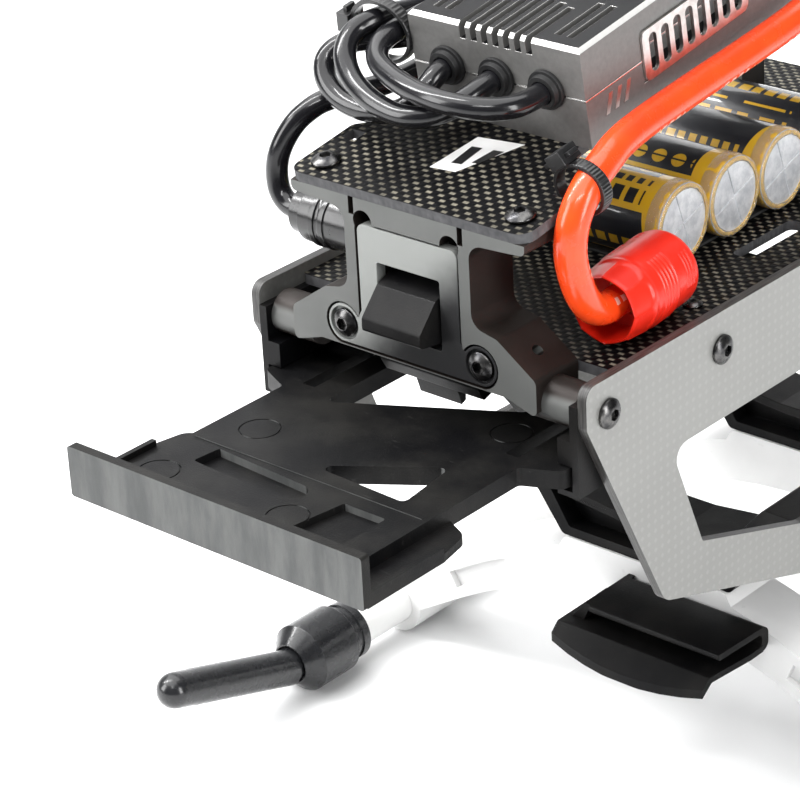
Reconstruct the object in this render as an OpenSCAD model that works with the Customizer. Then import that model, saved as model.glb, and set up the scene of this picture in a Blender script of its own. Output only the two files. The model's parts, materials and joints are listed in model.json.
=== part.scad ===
// Nose chassis of a model helicopter: side plates and rails, sliding battery tray with its latch,
// speed controller on an inclined top plate, buffer capacitors, battery leads and landing gear.
// The nose frame has its zero at the middle of the front bulkhead: X to port, Y aft, Z up.

/* [Side plates] */
// Distance between the outer faces of the two side plates
chassis_w = 80; // [76:1:84]
// Thickness of the carbon side plates, top plate and deck
carbon_t = 2; // [1.5:0.5:2]
// Aft end of the side plates, from the front bulkhead's face
plate_aft = 163.5; // [162:0.5:170]
// Height of the top edge of the side plates
plate_top = 2; // [1:0.5:3]
// Height of the bottom edge of the side plates
plate_low = -65.5; // [-68:0.5:-64]

/* [Battery tray] */
// How far the front lip of the tray stands out at rest
tray_out = 53.5; // [50:0.5:56]
// Height of the tray's upper face
tray_top = -14.3; // [-14.5:0.1:-14.3]
// Thickness of the tray's plate
tray_t = 3.6; // [3:0.2:4.2]
// Half width of the tray between the rails
tray_half = 28.4; // [26:0.2:30]
// Half width of the part that rides in the rails
runner_half = 36; // [35.5:0.1:36]

/* [Top plate] */
// Rise of the top plate towards the rear
top_tilt = 9; // [8:0.5:10]
// Height of the top plate's upper face at the front bulkhead
top_z = 28; // [27.5:0.5:29]
// Half width of the top plate at the nose
top_half = 27.8; // [26:0.2:28]

/* [Speed controller] */
// Width of the speed controller
esc_w = 40; // [38:1:42]
// Length of the speed controller
esc_l = 87.8; // [86:0.2:88]
// Height of the speed controller without its fan
esc_h = 20; // [19.5:0.5:21]
// Distance from the front of the top plate to the speed controller
esc_s = 29.2; // [28:0.2:30]

/* [Capacitors] */
// Diameter of one capacitor cell over its sleeve
cell_d = 16.4; // [16:0.1:16.5]
// Length of one cell
cell_l = 40; // [36:1:42]
// Number of cells in the row
cell_n = 4; // [3:1:4]

/* [Leads] */
// Diameter of the phase wires
phase_d = 4.3; // [4:0.1:4.4]
// Diameter of the red battery lead
red_d = 6; // [5.5:0.1:6]
// Diameter of the black battery lead
black_d = 4.4; // [4:0.1:4.6]

/* [Landing gear] */
// Distance between the skid axes
skid_w = 140; // [130:2:150]
// Height of the skid axes in the nose frame
skid_z = -108.5; // [-112:0.5:-106]
// Diameter of the skid tubes
skid_d = 10; // [9:0.5:11]
// Outer diameter of the skid collars and end caps
collar_d = 15.4; // [15:0.2:16]
// Places of the front and rear bows along the chassis
bow_y = [75, 135];

/* [Hidden] */

$fn = 48;
fit = 0.05;             // gap round a fastener or running pin
plate_in = chassis_w / 2 - carbon_t;
collar_r = collar_d / 2;
floor_z = skid_z - collar_r;
nose_y = (tray_out - plate_aft) / 2;
m3_r = 1.5;
head_r = 2.85;          // M3 button head
head_h = 1.65;
side_holes = [[40, -5.5], [80, -5.5], [120, -5.5], [144, -5.5]];
nose_hole = [6.3, -4.8];
bow_hole_z = -59;
bow_half = 7.5;         // half width of a bow along the chassis
saddle_low = -76;       // joint between a saddle block and its bow
bow_low = -86.8;        // underside of a bow at its middle
clip_z = -79.5;         // upper face of the belly clip
clip_pegs = [8, 20];
block_y = [40, 80, 120, 144];
deck_y = [for (y = block_y) y + 2.8];
rail_in = 33.4;         // inner face of the rails' upper ledge
rail_aft = 154;
deck_front = 12.3;
latch_x = 16.2;         // latch plate screws
pin_at = [7.5, 14.6];   // latch pivot
top_hole = [22.8, 5];
esc_mid = 9.8;          // height of the joint between base and cover
esc_end = esc_s + esc_l;
grille = [46, 78, 5.4, 15.4];
fan_s = 66;
fan_r = 13.5;
grommet_x = 11.5;
grommet_h = 10.6;
cell_y0 = 56;
cell_z = cell_d / 2 + 0.6;
bundle = [[-22.8, 14.3], [-27.3, 11.8], [-22.8, 9.6]];   // phase wires beside the controller
lead_hole = [6.6, 8.4];  // battery leads at the controller's rear
support_y = [121, 129];
support_hole = [14, 126];
support_mid = (support_y.x + support_y.y) / 2;
conn_at = [29.6, 18.7, 7.5];
conn_r = 7.5;
conn_yaw = 7;
plug_at = [-36.5, 12.5, 13.6];
tie_w = 2.5;

// Routes of the leads on the inclined plate: X, distance along the plate, height over it
route_a = [[11.5, 31, 10.6], [11.5, 25, 10.7], [10.6, 19.6, 11.4], [6.6, 15.6, 12.3],
    [0, 14.2, 12.8], [-7, 15, 12.9], [-14.5, 17.2, 13.2], [-20.8, 20.5, 13.8],
    [-23.8, 25.5, 14.6], [-23.6, 32, 15], [-22.9, 42, 14.6], [-22.8, 58, 14.3],
    [-22.8, 80, 14.3], [-22.8, 102, 14.3], [-22.8, 121, 14.3]];
route_b = [[0, 31, 10.6], [0, 25, 10.5], [-1.2, 20, 9.6], [-4.2, 16.2, 8.3], [-8, 14.4, 7.8],
    [-12.8, 14, 7.8], [-19.3, 15, 8.9], [-25.2, 17.3, 10.8], [-28.8, 20.4, 13.6],
    [-29.6, 24.6, 15.8], [-28, 30, 16.4], [-27.4, 42, 13.6], [-27.3, 58, 11.8],
    [-27.3, 80, 11.8], [-27.3, 102, 11.8], [-27.3, 121, 11.8]];
route_c = [[-11.5, 31, 10.6], [-11.5, 25.6, 10.3], [-12.4, 22, 8.2], [-15, 19.5, 5.6], [-19, 18.5, 4.2],
    [-25.5, 18.4, 3.6], [-31, 19, 4.4], [-35.2, 20.6, 6.6], [-36.8, 23, 9.2],
    [-35.4, 26, 11], [-31.4, 29.2, 11.6], [-26.8, 34, 10.8], [-23.4, 42, 9.8],
    [-22.8, 58, 9.6], [-22.8, 80, 9.6], [-22.8, 102, 9.6], [-22.8, 121, 9.6]];
route_red = [[28.7, 23.4, -24.3], [29.6, 15.8, -22.9], [29.9, 11.6, -20], [30.2, 8.9, -14.4],
    [30.4, 7.9, -7], [30.8, 9.8, -0.8], [30.8, 15, 3.4], [29.4, 22, 4.4], [28, 28, 4.4],
    [26.5, 38, 3.5], [25.4, 55, 2], [25, 71, 0.9], [25, 87, 0.6], [25, 104, 1.8],
    [24, 114.5, 3.8], [20.4, 122.6, 6], [14.4, 126.4, 7.8], [8.8, 124.4, 8.3],
    [6.6, 119.5, 8.4], [6.6, 114.5, 8.4]];
route_black = [[-32.4, 10.1, -16.2], [-36.6, 10.1, -16.2], [-40, 10, -16.2], [-42.8, 10.6, -13.9],
    [-43.6, 11.8, -9.7], [-42.7, 13.3, -5.6], [-40.8, 15.9, -1.7], [-38.7, 18.8, 0.5],
    [-37, 21.5, 1.3], [-34, 25.7, 1.4], [-30, 32.8, 1.4], [-26, 42, 2.6], [-23.4, 54, 4.2],
    [-22.9, 66, 4.6], [-22.9, 88, 4.6], [-22.9, 112, 4.6], [-21.2, 119.4, 5.8],
    [-16.4, 124.4, 7.2], [-10.8, 124.6, 8.2], [-7.6, 122, 8.4], [-6.6, 118.4, 8.4],
    [-6.6, 114.5, 8.4]];

// ---------------------------------------------------------------- helpers
function unit(v) = v / norm(v);
function turn(a) = a > 180 ? a - 360 : a < -180 ? a + 360 : a;
function corner(a, b, c, r, n = 6) =
    r == 0 ? [[b.x, b.y]] :
    let (u = unit([a.x - b.x, a.y - b.y]), v = unit([c.x - b.x, c.y - b.y]),
        half = acos(u * v) / 2, t = r / tan(half),
        m = [b.x, b.y] + unit(u + v) * r / sin(half),
        p = [b.x, b.y] + u * t - m, q = [b.x, b.y] + v * t - m,
        a0 = atan2(p.y, p.x), da = turn(atan2(q.y, q.x) - a0))
    [for (i = [0:n]) m + r * [cos(a0 + da * i / n), sin(a0 + da * i / n)]];
// Outline through points [x, y, corner radius]
function rounded(pts) = let (n = len(pts))
    [for (i = [0:n - 1]) each corner(pts[(i + n - 1) % n], pts[i], pts[(i + 1) % n], pts[i].z)];
function round_box(x0, x1, y0, y1, r) = rounded([[x0, y0, r], [x1, y0, r], [x1, y1, r], [x0, y1, r]]);
function mirrored(pts) = concat(pts, [for (i = [len(pts) - 1:-1:0]) [-pts[i].x, pts[i].y, pts[i].z]]);

// Tube through the points of a route
module tube(p, d, sides = 8) {
    n = len(p);
    dir = [for (i = [0:n - 1]) unit(p[min(i + 1, n - 1)] - p[max(i - 1, 0)])];
    side = [for (i = 0, s = unit(cross(dir[0], [0.1, 0.2, 1])); i < n; i = i + 1,
        s = i < n ? unit(s - dir[i] * (s * dir[i])) : s) s];
    points = [for (i = [0:n - 1]) for (k = [0:sides - 1]) let (a = 360 * k / sides)
        p[i] + d / 2 * (cos(a) * side[i] + sin(a) * cross(dir[i], side[i]))];
    walls = [for (i = [0:n - 2]) for (k = [0:sides - 1])
        let (j = (k + 1) % sides, a = i * sides, b = a + sides)
            each [[a + k, b + k, b + j], [a + k, b + j, a + j]]];
    ends = [[for (k = [0:sides - 1]) k], [for (k = [sides - 1:-1:0]) (n - 1) * sides + k]];
    polyhedron(points, concat(walls, ends), convexity = 6);
}

module nose() translate([0, nose_y, -floor_z]) children();
module incline() nose() translate([0, 0, top_z]) rotate([top_tilt, 0, 0]) children();
module mirrored_x() { children(); mirror([1, 0, 0]) children(); }
module along_x(x0, x1, r) translate([x0, 0, 0]) rotate([0, 90, 0]) cylinder(r = r, h = x1 - x0);
module along_y(y0, y1, r) translate([0, y0, 0]) rotate([-90, 0, 0]) cylinder(r = r, h = y1 - y0);
// Outline in X and Z, swept from y0 to y1
module slab_y(y0, y1, pts) translate([0, y1, 0]) rotate([90, 0, 0]) linear_extrude(y1 - y0) polygon(pts);
// Outline in Y and Z, swept from x0 to x1
module slab_x(x0, x1, pts) translate([x0, 0, 0]) rotate([90, 0, 90]) linear_extrude(x1 - x0) polygon(pts);

// Button-head screw along -Z with its seat at zero
module screw(length, r = m3_r, hr = head_r, hh = head_h, key = 1.0) {
    difference() {
        intersection() {
            cylinder(r = hr, h = hh);
            translate([0, 0, hh - hr * 1.55]) sphere(r = hr * 1.55);
        }
        translate([0, 0, hh * 0.35]) cylinder(r = key / cos(30), h = hh, $fn = 6);
    }
    translate([0, 0, -length]) cylinder(r = r, h = length);
}

// ---------------------------------------------------------------- frame
module side_plate() {
    outline = rounded([[0.2, plate_top, 2.5], [plate_aft, plate_top, 3], [plate_aft, -40, 4],
        [142, plate_low, 6], [70, plate_low, 8], [22, -50, 4.5], [0.2, -6, 2]]);
    front_window = rounded([[24.6, -19.7, 3], [33.8, -42.6, 1], [66.5, -53.2, 4], [78, -53.6, 4],
        [96, -19.7, 3]]);
    middle_window = rounded([[88, -53.6, 3], [106, -20.5, 3], [124, -53.6, 3]]);
    rear_window = rounded([[116, -19.7, 3], [134, -52, 4], [146, -36, 4], [146, -19.7, 4]]);
    difference() {
        slab_x(plate_in, chassis_w / 2, outline);
        for (w = [front_window, middle_window, rear_window]) slab_x(plate_in - 1, chassis_w / 2 + 1, w);
        for (h = concat(side_holes, [nose_hole], [for (y = bow_y) [y, bow_hole_z]]))
            translate([0, h.x, h.y]) along_x(plate_in - 1, chassis_w / 2 + 1, m3_r + fit);
        for (z = [-8, -32]) translate([0, 156, z]) along_x(plate_in - 1, chassis_w / 2 + 1, 1.6);
    }
}
module side_plate_left() color("silver") nose() mirror([1, 0, 0]) side_plate();
module side_plate_right() color("silver") nose() side_plate();

module rail() {
    channel = [[plate_in, -2], [36.2, -2], [36.2, -9], [rail_in, -9], [rail_in, -14],
        [36.6, -14], [36.6, -18.9], [33.2, -18.9], [33.2, -20], [plate_in, -20]];
    difference() {
        union() {
            slab_y(0, rail_aft, channel);
            for (y = block_y) translate([29, y - 4.5, -9]) cube([7.3, 9, 7]);
            slab_y(rail_aft - 3, rail_aft, [[33, -2], [33, -9.5], [37, -9.5], [37, -2]]);
        }
        for (h = side_holes) translate([0, h.x, h.y]) along_x(28, 39, m3_r);
        translate([0, nose_hole.x, nose_hole.y]) along_x(35, 39, m3_r + fit);
        for (y = deck_y) translate([31.5, y, -7.5]) cylinder(r = 1, h = 6);
    }
}
module rail_left() color("dimgray") nose() mirror([1, 0, 0]) rail();
module rail_right() color("dimgray") nose() rail();

// Body of the bulkhead: T-shaped top, thin posts, shoulders and round end bosses
module front_bulkhead() color("gray") nose() {
    shape = rounded(mirrored([[27.4, 40, 0], [27.4, 24, 1.2], [14.7, 23.2, 3], [14.7, 7.6, 3],
        [20.4, 6.4, 2], [29, 0.4, 1.5], [29, -6.6, 1], [22, -4.4, 1.5]]));
    difference() {
        union() {
            slab_y(0, 12, shape);
            mirrored_x() translate([0, nose_hole.x - 0.7, nose_hole.y + 0.2]) along_x(26, 36.2, 4.3);
        }
        translate([0, 0, top_z]) rotate([top_tilt, 0, 0]) translate([-40, -20, -carbon_t]) cube([80, 60, 40]);
        slab_y(-1, 2.6, latch_outline(0.4));
        slab_y(2, 13, rounded(mirrored([[9.4, 18.6, 2], [9.4, -1.5, 0], [9.4, -8, 0]])));
        mirrored_x() {
            translate([10.2, 0, 21.6]) along_y(-1, 13, 2.2);
            translate([latch_x, 0, 0]) along_y(2, 11, m3_r);
            translate([0, pin_at.x, pin_at.y]) along_x(8, 12, 1);
            translate([0, nose_hole.x, nose_hole.y]) along_x(26.5, 37, m3_r);
        }
        for (x = [-1, 1]) translate([0, 0, top_z]) rotate([top_tilt, 0, 0])
            translate([x * top_hole.x, top_hole.y, -carbon_t - 2.2]) cylinder(r = m3_r, h = 4);
        mirrored_x() translate([12.2, -1, 22.6]) cube([1.2, 14, 10]);
        translate([24.8, 6, 3.4]) rotate([0, 50, 0]) translate([0, 0, -3]) cylinder(r = 1.1, h = 8);
    }
}

function latch_outline(g) = rounded(concat(
    [[11.8 + g, 21 + g, 1.5], [11.8 + g, 3.6, 0]],
    [for (a = [150:-15:-75]) [latch_x + (3.9 + g) * cos(a), (3.9 + g) * sin(a), 0]],
    [for (a = [255:-15:30]) [-latch_x + (3.9 + g) * cos(a), (3.9 + g) * sin(a), 0]],
    [[-11.8 - g, 3.6, 0], [-11.8 - g, 21 + g, 1.5]]));

module latch_plate() color("darkgray") nose() difference() {
    slab_y(0.1, 2.5, latch_outline(0));
    slab_y(-1, 3, rounded(mirrored([[7.4, 14.3, 0.5], [7.4, 0.6, 0.5]])));
    mirrored_x() translate([latch_x, 0, 0]) {
        along_y(-1, 3, m3_r + fit);
        along_y(-1, 0.9, 3.3);
    }
}

// Finger wedge, arm and tongue of the latch in one piece, hung on the latch pin
module latch_lever() color("black") nose() difference() {
    union() {
        slab_x(-6.9, 6.9, rounded([[4.6, 12.6, 0.5], [-0.6, 10.4, 0.8], [-5.2, 5.4, 1],
            [-5.2, 2.8, 0.8], [0, 2, 0.5], [4.6, 2, 0]]));
        slab_x(-6.9, 6.9, rounded([[4.4, 16.4, 2], [9.4, 16.4, 2], [8.8, -3, 0], [4.4, -3, 0]]));
        slab_x(-9, 9, [[4.4, -2.6], [8.8, -2.6], [8.8, -5.4], [4.4, -5.4]]);
        slab_x(-11.7, 11.7, rounded([[4.4, -5.3, 0], [8.8, -5.3, 0], [9.2, -9.4, 1.5], [6, -10.4, 0.5],
            [4.4, -7.6, 1]]));
        slab_x(-5, 5, [[6.4, -10], [9, -9], [8.8, -13.2], [7.6, -13.7]]);
    }
    translate([0, pin_at.x, pin_at.y]) along_x(-8, 8, 1 + fit);
    translate([-2.6, 5.6, 11.4]) cube([5.2, 5, 6]);
}

module latch_pin() color("silver") nose() translate([0, pin_at.x, pin_at.y]) along_x(-12, 12, 1);

module latch_spring() color("gainsboro") nose() translate([0, pin_at.x, pin_at.y]) {
    for (i = [-2:2]) translate([i * 0.64, 0, 0]) rotate([0, 90, 0])
        rotate_extrude() translate([1.5, 0]) circle(r = 0.34, $fn = 16);
}

// ---------------------------------------------------------------- screws
module latch_screws() color("darkslategray") nose() mirrored_x()
    translate([latch_x, 0.9, 0]) rotate([90, 0, 0]) screw(9, m3_r, 2.75, 1.8, 1.1);
module top_plate_screws() color("darkslategray") incline() {
    mirrored_x() translate([top_hole.x, top_hole.y, 0]) screw(4.1);
    mirrored_x() translate([support_hole.x, support_hole.y, 0]) screw(6);
}
module side_plate_screws() color("darkslategray") nose() mirrored_x() {
    for (h = side_holes) translate([chassis_w / 2, h.x, h.y]) rotate([0, 90, 0]) screw(9.5);
    translate([chassis_w / 2, nose_hole.x, nose_hole.y]) rotate([0, 90, 0]) screw(12);
}
module deck_screws() color("darkslategray") nose() mirrored_x() {
    for (y = deck_y) translate([31.5, y, 0]) screw(7, 1, 1.9, 1.1, 0.65);
    translate([19.5, support_mid, -carbon_t]) rotate([180, 0, 0]) screw(5, 1, 1.9, 1.1, 0.65);
}

// ---------------------------------------------------------------- plates
module top_plate() color([0.16, 0.16, 0.16]) incline() {
    tail = 132;
    difference() {
        translate([0, 0, -carbon_t]) linear_extrude(carbon_t) polygon(rounded([[top_half, -0.3, 3],
            [top_half, 18, 2], [17, 27.2, 2], [17, tail, 3], [-17, tail, 3], [-17, 27.2, 2],
            [-top_half, 18, 2], [-top_half, -0.3, 3]]));
        mirrored_x() {
            translate([top_hole.x, top_hole.y, -5]) cylinder(r = m3_r + fit, h = 9);
            translate([support_hole.x, support_hole.y, -5]) cylinder(r = m3_r + fit, h = 9);
            translate([23.2, 13.4, -5]) cube([3.3, 3.2, 9]);
        }
        for (s = [48, 84]) translate([-8, s, -5]) cube([16, 18, 9]);
    }
}
module deck_plate() color([0.16, 0.16, 0.16]) nose() difference() {
    translate([0, 0, -carbon_t]) linear_extrude(carbon_t) polygon(rounded([[plate_in - 0.1, deck_front, 1],
        [plate_in - 0.1, 158, 2], [-plate_in + 0.1, 158, 2], [-plate_in + 0.1, deck_front, 1]]));
    mirrored_x() {
        for (y = deck_y) translate([31.5, y, -5]) cylinder(r = 1 + fit, h = 9);
        translate([19.5, support_mid, -5]) cylinder(r = 1 + fit, h = 9);
        translate([0, 0, -5]) linear_extrude(9) polygon(round_box(23.4, 27.8, 66, 86, 1.5));
        translate([14, 143, -5]) cylinder(r = 1.6, h = 9);
    }
}
module rear_support() color("gray") nose() difference() {
    slab_y(support_y.x, support_y.y, rounded([[22, 0, 0], [22, 4, 1.5], [17, 5, 3], [17, 90, 0],
        [-17, 90, 0], [-17, 5, 3], [-22, 4, 1.5], [-22, 0, 0]]));
    translate([0, 0, top_z]) rotate([top_tilt, 0, 0]) translate([-40, 60, -carbon_t]) cube([80, 120, 80]);
    slab_y(support_y.x - 1, support_y.y + 1, rounded([[-13, 5, 3], [13, 5, 3], [13, 37, 4], [-13, 37, 4]]));
    translate([0, 0, top_z]) rotate([top_tilt, 0, 0]) mirrored_x()
        translate([support_hole.x, support_hole.y, -7]) cylinder(r = m3_r, h = 8);
    mirrored_x() translate([19.5, support_mid, -1]) cylinder(r = 1, h = 4);
}

// ---------------------------------------------------------------- battery tray
module battery_tray() color([0.1, 0.1, 0.1]) nose() {
    low = tray_top - tray_t;
    front = -tray_out;
    body_pts = rounded([[tray_half, front + 1, 0], [tray_half, -5, 1], [runner_half, -1.5, 2],
        [runner_half, 95, 3], [-runner_half, 95, 3], [-runner_half, -1.5, 2], [-tray_half, -5, 1],
        [-tray_half, front + 1, 0]]);
    wing_pts = rounded([[tray_half - 1, front + 1, 0], [35, front + 1, 0], [35, -33, 2],
        [33.6, -26, 3], [tray_half - 1, -23, 0.5]]);
    difference() {
        union() {
            translate([0, 0, low]) linear_extrude(tray_t) polygon(body_pts);
            mirrored_x() {
                translate([0, 0, -18.5]) linear_extrude(1.6) polygon(wing_pts);
                translate([33.9, front + 1, -18.5]) cube([1.1, 19.5, 2.8]);
            }
            // Front lip that stops the tray against the rails
            slab_y(front, front + 2, rounded([[-35, -18.6, 0.6], [35, -18.6, 0.6], [35, -8.6, 0.6],
                [-35, -8.6, 0.6]]));
        }
        // Triangular lightening holes of the floor
        for (t = [[[-1.8, -25.6, 1.2], [20.6, -26.6, 1.2], [18.8, -12, 1.2]],
                [[-17.5, -5.4, 1.2], [17, 13.4, 1.2], [-17.5, 33, 1.2]],
                [[17.5, 24, 1.5], [17.5, 60, 1.5], [-14, 42, 1.5]],
                [[-17.5, 53, 1.5], [14, 70, 1.5], [-17.5, 86, 1.5]]])
            translate([0, 0, -30]) linear_extrude(30) polygon(rounded(t));
        // Latch recess and pocket behind the lip
        translate([0, 0, tray_top - 1.6]) linear_extrude(3) polygon(rounded([[-20.6, -36.6, 0.5],
            [-20, -30.6, 0.5], [6.4, -32.4, 3], [4, -37.6, 0.5], [-17, -36.9, 0.5]]));
        translate([0, 0, tray_top - 1.4]) linear_extrude(3) polygon(rounded([[10.3, -46.4, 0.5],
            [22, -46.4, 0.5], [22, -33, 0.5], [12.4, -33, 0.5]]));
        // Ejector marks
        for (c = [[-19.5, -20.5], [19, 4.8], [-23, -43], [7.4, -42]])
            translate([c.x, c.y, tray_top - 0.25]) difference() {
                cylinder(r = 4, h = 2);
                translate([0, 0, -1]) cylinder(r = 3.7, h = 4);
            }
        // Strap slots
        mirrored_x() for (y = [-2, 72]) translate([23, y, -30]) cube([3, 20, 30]);
    }
    // Low rib across the floor, where the raised front pad ends
    slab_y(-29.6, -28.2, [[-tray_half + 0.6, tray_top - 0.2], [tray_half - 0.6, tray_top - 0.2],
        [tray_half - 1.4, tray_top + 0.2], [-tray_half + 1.4, tray_top + 0.2]]);
}

// ---------------------------------------------------------------- speed controller
module esc_box(h0, h1, g = 0)
    translate([-esc_w / 2 - g, esc_s - g, h0]) cube([esc_w + 2 * g, esc_l + 2 * g, h1 - h0]);
module grille_seat() mirrored_x() {
    translate([esc_w / 2 - 0.3, grille[0] - 0.1, grille[2] - 0.1])
        cube([2, grille[1] - grille[0] + 0.2, grille[3] - grille[2] + 0.2]);
    translate([esc_w / 2 - 3, grille[0] + 1.5, grille[2] + 1.3])
        cube([4, grille[1] - grille[0] - 3, grille[3] - grille[2] - 2.6]);
}
module esc_base() color([0.22, 0.22, 0.23]) incline() difference() {
    esc_box(0, esc_mid - 0.2);
    grille_seat();
    lead_bores();
    grommet_bores();
}
module grommet_bores(r = 2.6) for (i = [-1:1])
    translate([i * grommet_x, 0, grommet_h]) along_y(esc_s - 1, esc_s + 4, r);
module lead_bores() mirrored_x()
    translate([lead_hole.x, 0, lead_hole.y]) along_y(esc_end - 4, esc_end + 1, 3.1);
module esc_cover() color([0.25, 0.25, 0.26]) incline() difference() {
    intersection() {
        slab_y(esc_s, esc_end, [[-esc_w / 2, esc_mid + 0.2], [esc_w / 2, esc_mid + 0.2],
            [esc_w / 2, esc_h - 0.8], [esc_w / 2 - 0.8, esc_h], [-esc_w / 2 + 0.8, esc_h],
            [-esc_w / 2, esc_h - 0.8]]);
        slab_x(-esc_w, esc_w, [[esc_s, 0], [esc_end, 0], [esc_end, esc_h - 0.8], [esc_end - 0.8, esc_h],
            [esc_s + 0.8, esc_h], [esc_s, esc_h - 0.8]]);
    }
    grille_seat();
    grommet_bores();
    lead_bores();
    // Heat sink slots at the front, then beside and behind the fan
    for (i = [-3:3]) translate([i * 2.56 - 0.1, esc_s - 1, esc_h - 3.2]) cube([1.4, 17 - abs(i), 5]);
    for (x = [-16.4, -13.6, 11.8, 14.6]) translate([x, esc_s + 3.5, esc_h - 3]) cube([1.4, 13, 5]);
    for (i = [-6:6]) translate([i * 2.8 - 0.7, fan_s + 19, esc_h - 3.2]) cube([1.4, esc_end - fan_s - 22, 5]);
    translate([-15.2, fan_s - 15.2, esc_h - 7.1]) cube([30.4, 30.4, 9]);
}
module esc_trim() color("gainsboro") incline() difference() {
    esc_box(esc_mid - 0.2, esc_mid + 0.2, 0.12);
    grille_seat();
    grommet_bores(3.95);
    lead_bores();
}
module esc_grilles() color("lightgray") incline() mirrored_x() {
    slots = 8;
    pitch = (grille[1] - grille[0] - 2.4) / slots;
    difference() {
        slab_x(esc_w / 2 - 0.3, esc_w / 2 + 0.5, round_box(grille[0], grille[1], grille[2], grille[3], 1.6));
        for (i = [0:slots - 1]) let (s = grille[0] + 1.2 + pitch * (i + 0.5))
            slab_x(esc_w / 2 - 1, esc_w / 2 + 1,
                round_box(s - 1.15, s + 1.15, grille[2] + 1.2, grille[3] - 1.2, 1.1));
    }
}
module esc_grommets() color([0.08, 0.08, 0.08]) incline() for (i = [-1:1])
    translate([i * grommet_x, 0, grommet_h]) difference() {
        union() {
            along_y(esc_s - 0.9, esc_s, 3.9);
            along_y(esc_s - 2, esc_s + 3, 2.6);
            along_y(esc_s - 2, esc_s - 0.8, 3.2);
        }
        along_y(esc_s - 3, esc_s + 4, phase_d / 2 + 0.05);
    }

module fan_frame() color([0.1, 0.1, 0.1]) incline() translate([0, fan_s, esc_h - 7]) {
    difference() {
        translate([-15, -15, 0]) cube([30, 30, 8]);
        translate([0, 0, -1]) cylinder(r = fan_r + 0.6, h = 10);
        for (x = [-12.6, 12.6], y = [-12.6, 12.6]) translate([x, y, -1]) cylinder(r = 1.3, h = 10);
    }
    for (a = [0, 90, 180, 270]) rotate([0, 0, a + 45]) translate([3, -1, 0]) cube([fan_r - 2, 2, 1.2]);
    cylinder(r = 4.6, h = 1.2);
    cylinder(r = 1, h = 6);
}
module fan_rotor() color([0.14, 0.14, 0.14]) incline() translate([0, fan_s, esc_h - 7]) difference() {
    union() {
        translate([0, 0, 1.7]) cylinder(r = 5.6, h = 5.6);
        for (k = [0:8]) rotate([0, 0, 40 * k]) translate([8.6, 0, 4.4]) rotate([34, 0, 0])
            translate([-3.8, -2.7, -0.4]) cube([fan_r - 5, 5.4, 0.8]);
    }
    cylinder(r = 1 + fit, h = 6.6);
}

// ---------------------------------------------------------------- capacitors
module in_cells() nose() for (i = [0:cell_n - 1])
    translate([0, cell_y0 + i * cell_d, cell_z]) children();
module cell_cans() color("lightgray") in_cells() difference() {
    along_x(-cell_l / 2, cell_l / 2 - 0.2, cell_d / 2 - 0.25);
    for (a = [0, 90]) rotate([a + 20, 0, 0]) translate([cell_l / 2 - 0.5, -cell_d / 2 + 1.6, -0.2])
        cube([1, cell_d - 3.2, 0.4]);
}
module cell_sleeves() color("gold") in_cells() difference() {
    along_x(-cell_l / 2 + 0.4, cell_l / 2, cell_d / 2 - 0.02);
    along_x(-cell_l, cell_l / 2 - 0.2, cell_d / 2 - 0.25);
    along_x(0, cell_l, cell_d / 2 - 1.1);
}
module cell_board() color("darkgreen") nose() translate([-cell_l / 2 - 1.6, cell_y0 - 7.5, 1.2])
    cube([1.6, 15 + (cell_n - 1) * cell_d, 15]);
module cell_pad() color([0.12, 0.12, 0.12]) nose() translate([-17, cell_y0 - 4, 0])
    cube([34, 8 + (cell_n - 1) * cell_d, 0.6]);

// ---------------------------------------------------------------- leads and connectors
module phase_wire_a() color([0.07, 0.07, 0.07]) incline() tube(route_a, phase_d);
module phase_wire_b() color([0.07, 0.07, 0.07]) incline() tube(route_b, phase_d);
module phase_wire_c() color([0.07, 0.07, 0.07]) incline() tube(route_c, phase_d);
module red_lead() color("orangered") incline() tube(route_red, red_d);
module black_lead() color([0.07, 0.07, 0.07]) incline() tube(route_black, black_d);

module phase_bullets() color("goldenrod") incline()
    for (p = bundle) translate([p.x, 0, p.y]) difference() {
        union() {
            along_y(121, 126, 2.2);
            along_y(125.9, 134, 1.95);
        }
        along_y(127, 135, 1.5);
    }
// Comb that holds the three phase wires beside the speed controller
module wire_comb() color([0.1, 0.1, 0.1]) incline() difference() {
    slab_y(108, 112, rounded([[-20, 17.2, 0], [-20, 1.6, 0], [-26, 1.6, 2], [-30.4, 9, 2],
        [-30.4, 15, 2], [-25, 17.2, 2]]));
    for (p = bundle) translate([p.x, 0, p.y]) along_y(107, 113, phase_d / 2 + 0.05);
    translate([-22.9, 0, 4.6]) along_y(107, 113, black_d / 2 + 0.15);
}
function oval(rx, rz) = [for (a = [0:15:345]) [rx * cos(a), rz * sin(a)]];
// Closed oval strap with its square head at the angle head
module tie(rx, rz, head) difference() {
    union() {
        slab_y(-tie_w / 2, tie_w / 2, oval(rx + 0.8, rz + 0.8));
        rotate([0, head, 0]) translate([rx - 0.2, -2.2, -2]) cube([3, 4.4, 4]);
    }
    slab_y(-tie_w, tie_w, oval(rx, rz));
}
module phase_tie() color([0.06, 0.06, 0.06]) incline() translate([-27.3, 29.8, 14.1]) tie(6.6, 5.7, 185);
module lead_tie() color([0.06, 0.06, 0.06]) incline() translate([29.1, 15, 2.2]) tie(4.8, 4.3, -125);

module in_connector() nose() translate(conn_at) rotate([0, 0, conn_yaw]) children();
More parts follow.
